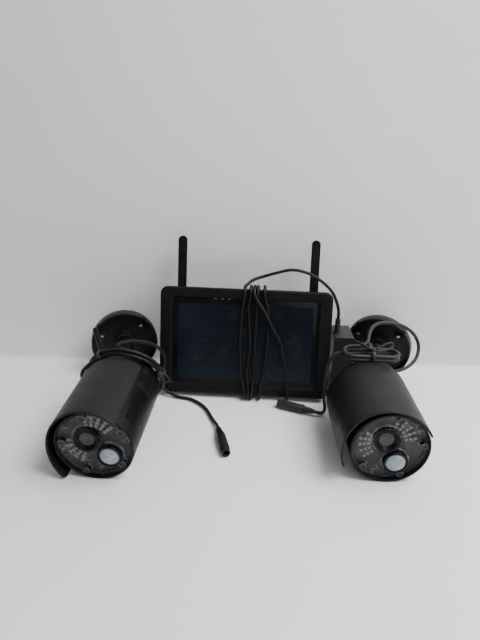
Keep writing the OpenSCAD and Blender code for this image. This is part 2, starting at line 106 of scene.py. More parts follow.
# ---------------------------------------------------------------- node helpers
class Net:
    def __init__(self, name):
        self.m = bpy.data.materials.new(name)
        self.m.use_nodes = True
        self.t = self.m.node_tree
        self.b = self.t.nodes["Principled BSDF"]
        self.co = self.t.nodes.new("ShaderNodeTexCoord").outputs["Object"]

    def link(self, a, b):
        self.t.links.new(a, b)

    def noise(self, scale, detail=3, rough=0.55, stretch=None, off=(0, 0, 0), rot=(0, 0, 0)):
        n = self.t.nodes.new("ShaderNodeTexNoise")
        n.inputs["Scale"].default_value = scale
        n.inputs["Detail"].default_value = detail
        n.inputs["Roughness"].default_value = rough
        mp = self.t.nodes.new("ShaderNodeMapping")
        mp.inputs["Location"].default_value = off
        mp.inputs["Rotation"].default_value = rot
        mp.inputs["Scale"].default_value = stretch or (1, 1, 1)
        self.link(self.co, mp.inputs["Vector"])
        self.link(mp.outputs["Vector"], n.inputs["Vector"])
        return n.outputs["Fac"]

    def voro(self, scale, feature="F1"):
        n = self.t.nodes.new("ShaderNodeTexVoronoi")
        n.feature = feature
        n.inputs["Scale"].default_value = scale
        self.link(self.co, n.inputs["Vector"])
        return n.outputs["Distance"]

    def ramp(self, fac, a, b, lo=0.0, hi=1.0):
        n = self.t.nodes.new("ShaderNodeMapRange")
        n.inputs["From Min"].default_value = a
        n.inputs["From Max"].default_value = b
        n.inputs["To Min"].default_value = lo
        n.inputs["To Max"].default_value = hi
        n.clamp = True
        self.link(fac, n.inputs["Value"])
        return n.outputs["Result"]

    def mix(self, fac, a, b):
        n = self.t.nodes.new("ShaderNodeMix")
        n.data_type = "RGBA"
        self.link(fac, n.inputs[0])
        for k, v in ((6, a), (7, b)):
            if isinstance(v, tuple):
                n.inputs[k].default_value = (*v[:3], 1)
            else:
                self.link(v, n.inputs[k])
        return n.outputs[2]

    def math(self, op, a, b):
        n = self.t.nodes.new("ShaderNodeMath")
        n.operation = op
        n.use_clamp = True
        for k, v in ((0, a), (1, b)):
            if isinstance(v, (int, float)):
                n.inputs[k].default_value = v
            else:
                self.link(v, n.inputs[k])
        return n.outputs[0]

    def bump(self, h, dist, strength=1.0, prev=None):
        n = self.t.nodes.new("ShaderNodeBump")
        n.inputs["Distance"].default_value = dist
        n.inputs["Strength"].default_value = strength
        self.link(h, n.inputs["Height"])
        if prev is not None:
            self.link(prev, n.inputs["Normal"])
        return n.outputs["Normal"]

    def done(self, color=None, rough=None, normal=None, **sockets):
        if color is not None:
            self.link(color, self.b.inputs["Base Color"])
        if rough is not None:
            self.link(rough, self.b.inputs["Roughness"])
        if normal is not None:
            self.link(normal, self.b.inputs["Normal"])
        for k, v in sockets.items():
            self.b.inputs[k.replace("_", " ")].default_value = v
        return self.m


def grey(v, t=(1, 1, 1)):
    return (v * t[0], v * t[1], v * t[2])


def plastic(name, base, light, rough=(0.42, 0.56), grain=1400, bump=0.00006, blotch=22, scuff=0.35, dust=0.25,
            scuff_dir=(30, 900, 30), coat=0.0, spec=0.5, fleck=0.0):
    """Moulded or painted plastic: slow colour drift, fine grain, rubbed scratches and settled dust."""
    n = Net(name)
    col = n.mix(n.ramp(n.noise(blotch, 4), 0.3, 0.72), base, light)
    fine = n.noise(grain, 2, 0.7)
    sc = n.ramp(n.noise(1.0, 2, 0.6, stretch=scuff_dir, rot=(0.3, 0.2, 0.5)), 0.66, 0.74)
    patch = n.ramp(n.noise(38, 3, off=(3, 1, 2)), 0.52, 0.66)
    scr = n.math("MULTIPLY", n.math("MULTIPLY", sc, patch), scuff)
    col = n.mix(scr, col, grey(0.24))
    sp = n.ramp(n.voro(520), 0.10, 0.05)
    spp = n.ramp(n.noise(60, 2, off=(7, 7, 7)), 0.5, 0.7)
    du = n.math("MULTIPLY", n.math("MULTIPLY", sp, spp), dust)
    col = n.mix(du, col, grey(0.42))
    rr = n.ramp(n.noise(70, 3, off=(1, 5, 9)), 0.25, 0.75, rough[0], rough[1])
    rr = n.math("ADD", rr, n.math("MULTIPLY", scr, 0.35))
    nor = n.bump(fine, bump, 0.8)
    nor = n.bump(sc, 0.00003, 0.5, nor)
    return n.done(col, rr, nor, Coat_Weight=coat, Coat_Roughness=0.25, Specular_IOR_Level=spec)


M = {}
M["housing_black"] = plastic("housing_black", grey(0.0022), grey(0.0048), (0.38, 0.52), scuff=0.25, dust=0.35, spec=0.16)
M["shade_black"] = plastic("shade_black", grey(0.0068), grey(0.0108, (1.0, 0.985, 0.96)), (0.40, 0.54), grain=2400,
                           bump=0.00004, blotch=14, scuff=0.4, dust=0.5, spec=0.2)
M["frame_black"] = plastic("frame_black", grey(0.0032), grey(0.0062), (0.36, 0.50), grain=1800, bump=0.00005, scuff=0.2, dust=0.4, spec=0.15)
M["dish_black"] = plastic("dish_black", grey(0.0045), grey(0.009), (0.36, 0.52), grain=900, bump=0.0001, scuff=0.25, dust=0.3, spec=0.3)


def m_cord(name, base, light, rough=(0.42, 0.6)):
    n = Net(name)
    col = n.mix(n.ramp(n.noise(160, 3), 0.3, 0.7), base, light)
    rub = n.math("MULTIPLY", n.ramp(n.noise(90, 4, off=(2, 2, 2)), 0.55, 0.75), 0.35)
    col = n.mix(rub, col, grey(0.02))
    rr = n.ramp(n.noise(240, 2), 0.3, 0.7, rough[0], rough[1])
    nor = n.bump(n.noise(900, 3, 0.6), 0.00007, 0.9)
    nor = n.bump(n.noise(120, 2), 0.0002, 0.5, nor)
    return n.done(col, rr, nor, Specular_IOR_Level=0.28)


M["lead_jacket"] = m_cord("lead_jacket", grey(0.0022), grey(0.0045))
M["grey_jacket"] = m_cord("grey_jacket", grey(0.013, (1, 0.98, 0.93)), grey(0.028, (1, 0.98, 0.93)), (0.4, 0.55))


def m_panel():
    n = Net("panel_glass")
    blotch_mask = n.noise(26, 5, 0.6, stretch=(1, 1, 2.2))
    col = n.mix(n.math("MULTIPLY", n.ramp(blotch_mask, 0.5, 0.8), 0.5), grey(0.0035), grey(0.010))
    sp = n.math("MULTIPLY", n.ramp(n.voro(420), 0.07, 0.03), n.ramp(n.noise(50, 2), 0.5, 0.65))
    col = n.mix(n.math("MULTIPLY", sp, 0.5), col, grey(0.30))
    rr = n.ramp(blotch_mask, 0.35, 0.75, 0.10, 0.26)
    return n.done(col, rr, n.bump(n.noise(500, 2), 0.00001, 0.4), Specular_IOR_Level=0.18)


M["panel_glass"] = m_panel()


def m_lcd():
    n = Net("lcd")
    drift = n.noise(9, 3, 0.5, off=(0.2, 0.1, 0.4))
    col = n.mix(n.ramp(drift, 0.3, 0.7), (0.0020, 0.0045, 0.0075), (0.0045, 0.0085, 0.0135))
    # lighter blotches that are also rougher, and dust
    blotch_mask = n.noise(34, 5, 0.62, stretch=(1, 1, 1.6), off=(4, 0, 1))
    col = n.mix(n.math("MULTIPLY", n.ramp(blotch_mask, 0.55, 0.85), 0.35), col, (0.030, 0.036, 0.046))
    sp = n.math("MULTIPLY", n.ramp(n.voro(300), 0.09, 0.03), n.ramp(n.noise(40, 2, off=(5, 5, 5)), 0.42, 0.6))
    col = n.mix(n.math("MULTIPLY", sp, 0.55), col, (0.16, 0.18, 0.21))
    cells = n.t.nodes.new("ShaderNodeTexWave")
    cells.inputs["Scale"].default_value = 900
    n.link(n.co, cells.inputs["Vector"])
    rr = n.ramp(blotch_mask, 0.3, 0.8, 0.14, 0.30)
    nor = n.bump(cells.outputs["Fac"], 0.000004, 0.3)
    return n.done(col, rr, nor, Specular_IOR_Level=0.25)


M["lcd"] = m_lcd()


def m_board(name="circuit_board"):
    n = Net(name)
    br = n.t.nodes.new("ShaderNodeTexBrick")
    br.inputs["Scale"].default_value = 160
    br.inputs["Mortar Size"].default_value = 0.06
    br.inputs["Color1"].default_value = (0.010, 0.045, 0.022, 1)
    br.inputs["Color2"].default_value = (0.012, 0.060, 0.030, 1)
    br.inputs["Mortar"].default_value = (0.020, 0.10, 0.05, 1)
    n.link(n.co, br.inputs["Vector"])
    col = n.mix(n.ramp(n.voro(700), 0.16, 0.10), br.outputs["Color"], (0.45, 0.40, 0.24))
    rr = n.ramp(n.noise(300), 0.3, 0.7, 0.3, 0.5)
    return n.done(col, rr, n.bump(br.outputs["Fac"], 0.00005, 0.5))


M["circuit_board"] = m_board()


def m_window():
    """Smoked acrylic over the lamps: mostly clear, with glue bloom and fine scratches."""
    n = Net("smoked_window")
    bloom = n.noise(60, 5, 0.65)
    col = n.mix(n.ramp(bloom, 0.35, 0.75), (0.78, 0.78, 0.79), (0.86, 0.86, 0.87))
    sc = n.ramp(n.noise(1.0, 2, 0.6, stretch=(900, 40, 40), rot=(0.2, 0.9, 0.4)), 0.68, 0.74)
    rr = n.math("ADD", n.ramp(bloom, 0.4, 0.8, 0.015, 0.05), n.math("MULTIPLY", sc, 0.10))
    m = n.done(col, rr, n.bump(n.noise(300, 2), 0.00001, 0.4), Transmission_Weight=1.0, IOR=1.12)
    m.use_backface_culling = False
    return m


M["smoked_window"] = m_window()


def m_face_board():
    """The grey mask behind the window, blotched where glue and lacquer have run."""
    n = Net("face_mask")
    col = n.mix(n.ramp(n.noise(70, 4), 0.3, 0.75), grey(0.028), grey(0.055, (1, 1, 1.02)))
    line = n.ramp(n.voro(180, "DISTANCE_TO_EDGE"), 0.035, 0.015)
    patch = n.ramp(n.noise(55, 2, off=(3, 3, 1)), 0.56, 0.66)
    col = n.mix(n.math("MULTIPLY", n.math("MULTIPLY", line, patch), 0.7), col, grey(0.62))
    rr = n.ramp(n.noise(200), 0.3, 0.7, 0.35, 0.55)
    return n.done(col, rr, n.bump(n.noise(500), 0.00006, 0.7))


M["face_mask"] = m_face_board()


def m_simple(name, a, b, rough, scale=300, bump=0.00005, metal=0.0, coat=0.0, **kw):
    n = Net(name)
    col = n.mix(n.ramp(n.noise(scale, 4), 0.3, 0.7), a, b)
    sc = n.ramp(n.noise(1.0, 2, 0.6, stretch=(60, 60, 1600), rot=(0.5, 0.2, 0.1)), 0.62, 0.72)
    rr = n.math("ADD", n.ramp(n.noise(scale * 0.6, 3), 0.3, 0.7, rough[0], rough[1]), n.math("MULTIPLY", sc, 0.1))
    nor = n.bump(n.noise(scale * 4, 2), bump, 0.7)
    return n.done(col, rr, nor, Metallic=metal, Coat_Weight=coat, **kw)


M["lens_black"] = m_simple("lens_black", grey(0.0018), grey(0.004), (0.30, 0.42), Specular_IOR_Level=0.15)
M["lens_disc"] = m_simple("lens_disc", grey(0.030), grey(0.045), (0.35, 0.5))
M["lens_glass"] = m_simple("lens_glass", (0.012, 0.011, 0.016), (0.020, 0.017, 0.026), (0.04, 0.09), bump=0.000005, coat=1.0)
M["steel_screw"] = m_simple("steel_screw", grey(0.035), grey(0.07), (0.35, 0.5), scale=900, metal=0.7)
M["prong_brass"] = m_simple("prong_brass", (0.52, 0.46, 0.30), (0.66, 0.60, 0.42), (0.22, 0.36), scale=500, metal=1.0)
# pale grey for the arcs round the screws and the sensor, and for the painted highlight arc round the lens
M["glue"] = m_simple("glue", grey(0.13, (1, 1, 1.02)), grey(0.34), (0.14, 0.32), scale=220, bump=0.0003)
M["boss_clear"] = m_simple("boss_clear", grey(0.010), grey(0.03), (0.12, 0.25), scale=400, bump=0.00008, coat=0.3)
M["led_body"] = m_simple("led_body", (0.34, 0.34, 0.30), (0.46, 0.45, 0.38), (0.35, 0.5), scale=800)
M["phosphor"] = m_simple("phosphor", (0.95, 0.70, 0.03), (1.0, 0.86, 0.12), (0.35, 0.5), scale=1200)
M["rubber_tie"] = m_simple("rubber_tie", grey(0.007), grey(0.014), (0.45, 0.6), scale=260)
M["adapter_grey"] = plastic("adapter_grey", grey(0.010), grey(0.018), (0.42, 0.56), scuff=0.4, dust=0.4)


def m_pir():
    n = Net("pir_lens")
    cell = n.voro(420, "DISTANCE_TO_EDGE")
    cloud = n.noise(150, 5, 0.6)
    col = n.mix(n.ramp(cloud, 0.3, 0.7), (0.20, 0.245, 0.28), (0.36, 0.40, 0.43))
    col = n.mix(n.math("MULTIPLY", n.ramp(cell, 0.06, 0.0), 0.35), col, (0.10, 0.14, 0.17))
    rr = n.ramp(cloud, 0.3, 0.7, 0.20, 0.38)
    nor = n.bump(cell, 0.0002, 0.5)
    return n.done(col, rr, nor, Subsurface_Weight=0.25, Subsurface_Scale=0.004, Coat_Weight=0.25)


M["pir_lens"] = m_pir()
M["lamp"] = M["led_body"]
M["status_window"] = m_simple("status_window", grey(0.045), grey(0.09), (0.25, 0.4), scale=900)


# ---------------------------------------------------------------- mesh helpers
def obj(name, me, mat, body, smooth=True):
    o = bpy.data.objects.new(name, me)
    bpy.context.scene.collection.objects.link(o)
    mats = mat if isinstance(mat, (list, tuple)) else [mat]
    me.materials.clear()
    for m in mats:
        me.materials.append(M[m] if isinstance(m, str) else m)
    if smooth:
        for p in me.polygons:
            p.use_smooth = True
    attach(o, body)
    return o


def mesh(name, verts, faces, mx, fix=True):
    me = bpy.data.meshes.new(name)
    me.from_pydata([(mx @ Vector(v)) * 0.001 for v in verts], [], faces)
    if fix:
        bm = bmesh.new()
        bm.from_mesh(me)
        bmesh.ops.remove_doubles(bm, verts=bm.verts, dist=1e-6)
        bmesh.ops.recalc_face_normals(bm, faces=bm.faces)
        bm.to_mesh(me)
        bm.free()
    return me


def soften(o, width=0.4, segs=2, angle=32, weld=True):
    if weld:
        w = o.modifiers.new("weld", "WELD")
        w.merge_threshold = 0.00001
    b = o.modifiers.new("soft_edges", "BEVEL")
    b.width = width * 0.001
    b.segments = segs
    b.limit_method = "ANGLE"
    b.angle_limit = math.radians(angle)
    b.harden_normals = False
    b.use_clamp_overlap = True
    b.miter_outer = "MITER_ARC"
    return o


def smooth_by_angle(o, angle=34):
    """Splits the normals along the edges sharper than angle."""
    e = o.modifiers.new("edge_split", "EDGE_SPLIT")
    e.split_angle = math.radians(angle)
    e.use_edge_sharp = False


def lathe(profile, mx, n=96, a0=0.0, a1=360.0, wob=None):
    """profile: (r, y) pairs turned round local Y."""
    full = abs(a1 - a0 - 360) < 1e-6
    cols = n if full else n + 1
    vs, fs = [], []
    for i in range(cols):
        a = math.radians(a0 + (a1 - a0) * i / n)
        for j, (r, y) in enumerate(profile):
            rr = r + (wob(a, j) if wob else 0)
            vs.append((rr * math.sin(a), y, rr * math.cos(a)))
    k = len(profile)
    for i in range(n):
        i2 = (i + 1) % cols
        for j in range(k - 1):
            fs.append((i * k + j, i2 * k + j, i2 * k + j + 1, i * k + j + 1))
    return mesh("lathe", vs, fs, mx)


def rr_loop(hw, v0, v1, r, w, n=8):
    """Rounded rectangle loop in the plane w, as (u, w, v)."""
    pts = []
    for cx, cz, a in ((hw - r, v1 - r, 0), (-hw + r, v1 - r, 90), (-hw + r, v0 + r, 180), (hw - r, v0 + r, 270)):
        for i in range(n + 1):
            t = math.radians(a + 90 * i / n)
            pts.append((cx + r * math.cos(t), w, cz + r * math.sin(t)))
    return pts


def loft(loops, mx, cap0=False, cap1=False, closed=False):
    k = len(loops[0])
    vs = [p for lp in loops for p in lp]
    fs = []
    m = len(loops)
    for i in range(m if closed else m - 1):
        i2 = (i + 1) % m
        for j in range(k):
            fs.append((i * k + j, i * k + (j + 1) % k, i2 * k + (j + 1) % k, i2 * k + j))
    if cap0:
        fs.append(tuple(range(k)))
    if cap1:
        fs.append(tuple((m - 1) * k + j for j in range(k)))
    return mesh("loft", vs, fs, mx)


# ---------------------------------------------------------------- cords
def catmull(p, k):
    p = [Vector(q) for q in p]
    out = []
    n = len(p) - 1
    for i in range(n):
        a = p[i - 1] if i > 0 else 2 * p[0] - p[1]
        b, c = p[i], p[i + 1]
        d = p[i + 2] if i + 2 <= n else 2 * p[n] - p[n - 1]
        for j in range(k):
            t = j / k
            out.append(0.5 * (2 * b + (c - a) * t + (2 * a - 5 * b + 4 * c - d) * t * t + (3 * b - a - 3 * c + d) * t ** 3))
    out.append(p[n])
    return out


def resample(p, step):
    out = [p[0]]
    left = step
    for a, b in zip(p, p[1:]):
        d = (b - a).length
        while d >= left:
            a = a + (b - a) * (left / d)
            out.append(a)
            d = (b - a).length
            left = step
        left -= d
    if (out[-1] - p[-1]).length > step * 0.3:
        out.append(p[-1])
    return out


def relax(p, rounds, lock=2):
    for _ in range(rounds):
        q = [v.copy() for v in p]
        for i in range(lock, len(p) - lock):
            q[i] = p[i] * 0.5 + (p[i - 1] + p[i + 1]) * 0.25
        p = q
    return p


def cord(name, pts_mm, dia, mat, body, step=1.6, rounds=3):
    p = relax(resample(catmull(pts_mm, 10), step), rounds)
    cu = bpy.data.curves.new(name, "CURVE")
    cu.dimensions = "3D"
    sp = cu.splines.new("POLY")
    sp.points.add(len(p) - 1)
    for i, v in enumerate(p):
        sp.points[i].co = (v.x * 0.001, v.y * 0.001, v.z * 0.001, 1)
    sp.use_smooth = True
    cu.bevel_depth = dia * 0.0005
    cu.bevel_resolution = 4
    cu.use_fill_caps = True
    cu.materials.append(M[mat])
    o = bpy.data.objects.new(name, cu)
    bpy.context.scene.collection.objects.link(o)
    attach(o, body)
    length = sum((b - a).length for a, b in zip(p, p[1:]))
    sharp = min(((p[i + 3] - p[i - 3]).length / max(1e-6, (p[i + 3] - p[i]).angle(p[i] - p[i - 3])), i) for i in range(3, len(p) - 3))
    print(name, "length mm", round(length, 1), "points", len(p), "tightest about", round(sharp[0] / 2, 1), "mm at", [round(x, 1) for x in p[sharp[1]]])
    return o, length * 0.001, p[0] * 0.001


LEFT_ROUTE = [[-126, 495.6, 86], [-117, 510, 84], [-104, 522, 78], [-92, 529, 70], [-84, 532, 58], [-84, 534, 44],
              [-88, 536, 30], [-88, 538, 16], [-82, 538, 6], [-70, 534, 2.3], [-54, 529, 2.3], [-38, 513, 2.3],
              [-28, 490, 2.4], [-22.5, 477, 4], [-19.9, 466.6, 5.2]]
RIGHT_ROUTE = [[158.5, 509.8, 49.2], [159.5, 513, 49.5], [167, 516, 51], [178, 517, 53], [189, 522, 57], [197, 529, 64],
               [199, 536, 75], [193, 541, 86], [181, 543, 94], [167, 542, 98], [153, 538, 99], [144, 531, 97],
               [139.5, 523.5, 92], [137.3, 516.6, 87]]
RIGHT_TAIL = [[104.8, 510.5, 75], [99.5, 510.5, 69], [96, 511.5, 58], [95, 514, 36], [95.5, 513, 17], [96.5, 507.5, 7],
              [93, 502.8, 4.5], [87.5, 502.9, 5], [81.96, 505.18, 5.2]]
ADAPTER_ROUTE = [[113, 566, 89.3], [112, 566, 104], [105, 571, 121], [91, 575, 134], [75, 578, 142], [58, 580, 144.5],
                 [42, 580, 141], [26, 580, 136], [14, 577, 132.5], [7, 573.5, 130.2]]
PLUG_ROUTE = [[56.3, 25, 100], [59, 29, 98], [64, 40, 95], [70, 54, 88], [72, 63, 77], [69, 62, 66.5],
              [66.4, 54, 62.4], [66, 46.3, 62]]
LEAD_D, CORD_D = 3.8, 3.6


def kit(p):
    return Vector(p) - LAY


# left: out of the gland, up round the tube's rear in loose turns, down behind and along the table
RING = AXIS["left"] @ T(0, 112, 5.5) @ R(21.3, "X")
RING_R = 38.5


def ring_left(phi, dr, ax):
    a = math.radians(phi)
    return RING @ Vector(((RING_R + dr) * math.sin(a), ax, (RING_R + dr) * math.cos(a)))


left_pts = [GLAND["left"] @ Vector((0, y, 0)) for y in (113.2, 118, 122.5)]
left_pts += [AXIS["left"] @ Vector(v) for v in ((25.5, 127.2, -4.6), (29.6, 127.8, 0.5), (33.2, 123.5, 7.0), (35.4, 116.5, 13.0))]
phi = 62.0
while phi > -702:
    t = (62 - phi) / 360.0
    psi = math.radians(40 - 120 * t)
    amp = 2.25
    dr, ax = amp * math.cos(psi), amp * math.sin(psi)
    loc = (phi + 360 * 4) % 360 - 360 if phi < -180 else phi
    loc = loc + 360 if loc < -180 else loc
    if -560 < phi < -300:
        w_ = max(0.0, math.cos((loc + 72) / 52 * math.pi / 2)) if abs(loc + 72) < 52 else 0.0
        dr += 8.5 * w_ * w_
        ax -= 11.0 * w_ * w_
    if abs(loc) < 60:
        dr += 1.2 * math.cos(math.radians(loc * 1.5)) * (1 if t < 1 else 0.2)
    left_pts.append(ring_left(phi, dr, ax))
    phi -= 18.0
left_pts += [kit(p) for p in LEFT_ROUTE]
left_cord, L_LEN, L_EXIT = cord("left_camera_cord", left_pts, LEAD_D, "lead_jacket", "left_camera")
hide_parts("left_lead", "left_coil")

# right: out of the gland, a high arch round the bracket, then the folded bundle on the tube, then the tail
right_pts = [kit(p) for p in RIGHT_ROUTE[:-1]]
right_pts += [kit((137.2, 516.4, 86.6)), kit((134, 512.8, 84.6)), kit((128, 511.4, 83.9))]


def track(q):
    """Point q (0..1) round the flat oval, from the middle of its back run towards -X."""
    r, hx = 10.3, 18.5
    per = 2 * math.pi * r + 4 * hx
    d = (q % 1.0) * per
    if d < hx:
        return 138 - d, 500.9 + r
    d -= hx
    if d < math.pi * r:
        a = d / r
        return 119.5 - r * math.sin(a), 500.9 + r * math.cos(a)
    d -= math.pi * r
    if d < 2 * hx:
        return 119.5 + d, 500.9 - r
    d -= 2 * hx
    if d < math.pi * r:
        a = d / r
        return 156.5 + r * math.sin(a), 500.9 - r * math.cos(a)
    d -= math.pi * r
    return 156.5 - d, 500.9 + r


q = 0.115
while q < 2.06:
    x, y = track(q)
    z = 84.0 - 4.2 * q
    right_pts.append(kit((x + 0.5 * math.sin(q * 9), y + 0.5 * math.sin(q * 13), z)))
    q += 0.055
right_pts += [kit(p) for p in RIGHT_TAIL]
right_cord, R_LEN, R_EXIT = cord("right_camera_cord", right_pts, LEAD_D, "grey_jacket", "right_camera", rounds=2)
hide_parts("right_lead", "right_hank")

# adapter lead: over the right antenna's back, five turns round the monitor, then its plug
ad_pts = [kit(p) for p in ADAPTER_ROUTE[:-1]]
FRONT = [
    [(-1.2, 122), (-3.6, 100), (-5, 62), (-3, 30), (2.6, 5)],
    [(5.2, 122), (3.4, 100), (6.8, 62), (4.2, 30), (6.4, 5)],
    [(13.2, 122), (13.0, 100), (11.8, 62), (12.2, 30), (10.4, 5)],
    [(20.8, 122), (25.6, 100), (26.4, 62), (22.6, 30), (19.4, 5)],
    [(9.4, 122), (21.5, 100), (40.2, 66), (48.6, 34), (51.6, 5)],
]
mpts = [(-0.4, 4.6, 127.9)]
for i, f in enumerate(FRONT):
    (u0, _), (u1, v1), (u2, v2), (u3, v3), (u4, _) = f
    d = 3.4 if i == 4 else 0.0
    mpts += [(u0 + (0.2 if i else -0.2), 1.2, 127.2), (u0, -2.6, 124.6), (u0, -4.0 - d * 0.6, 120.0), (u0 * 0.7 + u1 * 0.3, -3.0 - d, 112)]
    mpts += [(u1, -2.3 - d, v1), ((u1 + u2) / 2, -2.2 - d * 0.8, (v1 + v2) / 2), (u2, -2.1, v2), ((u2 + u3) / 2, -2.1, (v2 + v3) / 2),
             (u3, -2.2, v3), (u3 * 0.4 + u4 * 0.6, -2.9, 14), (u4, -3.9, 4.5), (u4, -3.5, 0.2), (u4, -0.8, -2.6), (u4, 3, -2.85),
             (u4, 8.4, -1.62), (u4, 14, 0.15)]
    nxt = FRONT[i + 1][0][0] if i + 1 < len(FRONT) else 54.2
    mpts += [(u4, 19.5, 3.4), (u4, 23.0, 8.8), (u4 * 0.97 + nxt * 0.03, 23.3, 16), (u4 * 0.7 + nxt * 0.3, 23.2, 40),
             (u4 * 0.4 + nxt * 0.6, 23.2, 70)]
    if i + 1 < len(FRONT):
        mpts += [(u4 * 0.1 + nxt * 0.9, 23.3, 98), (nxt, 23.9, 112), (nxt, 22.4, 119.6), (nxt, 17.6, 124.6), (nxt, 12, 126.3), (nxt, 6, 127.2)]
mpts += PLUG_ROUTE
ad_pts += [MON @ Vector(p) for p in mpts]
ad_cord, A_LEN, A_EXIT = cord("adapter_cord", ad_pts, CORD_D, "lead_jacket", "monitor", rounds=2)
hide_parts("adapter_lead", "adapter_winding")

# ---------------------------------------------------------------- carried-over CAD nodes
SLOT = {}
for row in frame["record"].get("subparts", []):
    SLOT[row["node"]] = row.get("material_slot")
SPECIAL = {"left_ir_board": "face_mask", "right_ir_board": "face_mask", "left_base_dish": "dish_black",
           "right_base_dish": "dish_black", "adapter_case": "adapter_grey"}
WIDTH = {"screen_glass": 0.25, "lcd_panel": 0.2, "monitor_board": 0.15, "case_screws": 0.12, "power_button": 0.35,
         "adapter_prongs": 0.25, "adapter_case": 0.9, "rear_cover": 0.7, "kickstand": 0.5}
for name, o in N.items():
    if o.type != "MESH":
        continue
    m = M.get(SPECIAL.get(name) or SLOT.get(name) or "housing_black") or M["housing_black"]
    for i in range(len(o.data.materials)):
        o.data.materials[i] = m
    if not len(o.data.materials):
        o.data.materials.append(m)
    key = name.split("_", 1)[1] if name.startswith(("left_", "right_")) else name
    w = WIDTH.get(name) or {"tube_housing": 0.5, "rear_cap": 0.5, "base_dish": 0.8, "arm": 0.6, "tail_stud": 0.5,
                            "elbow_screw": 0.2, "face_window": 0.15, "lens_barrel": 0.35, "lens_glass": 0.1,
                            "cable_gland": 0.25, "antenna_base": 0.5, "antenna": 1.3, "side_door": 0.35, "plug": 0.3,
                            "face_screws": 0.12, "main_board": 0.15, "ir_board": 0.15, "flip_antenna": 0.8}.get(key, 0.3)
    soften(o, w, 2)

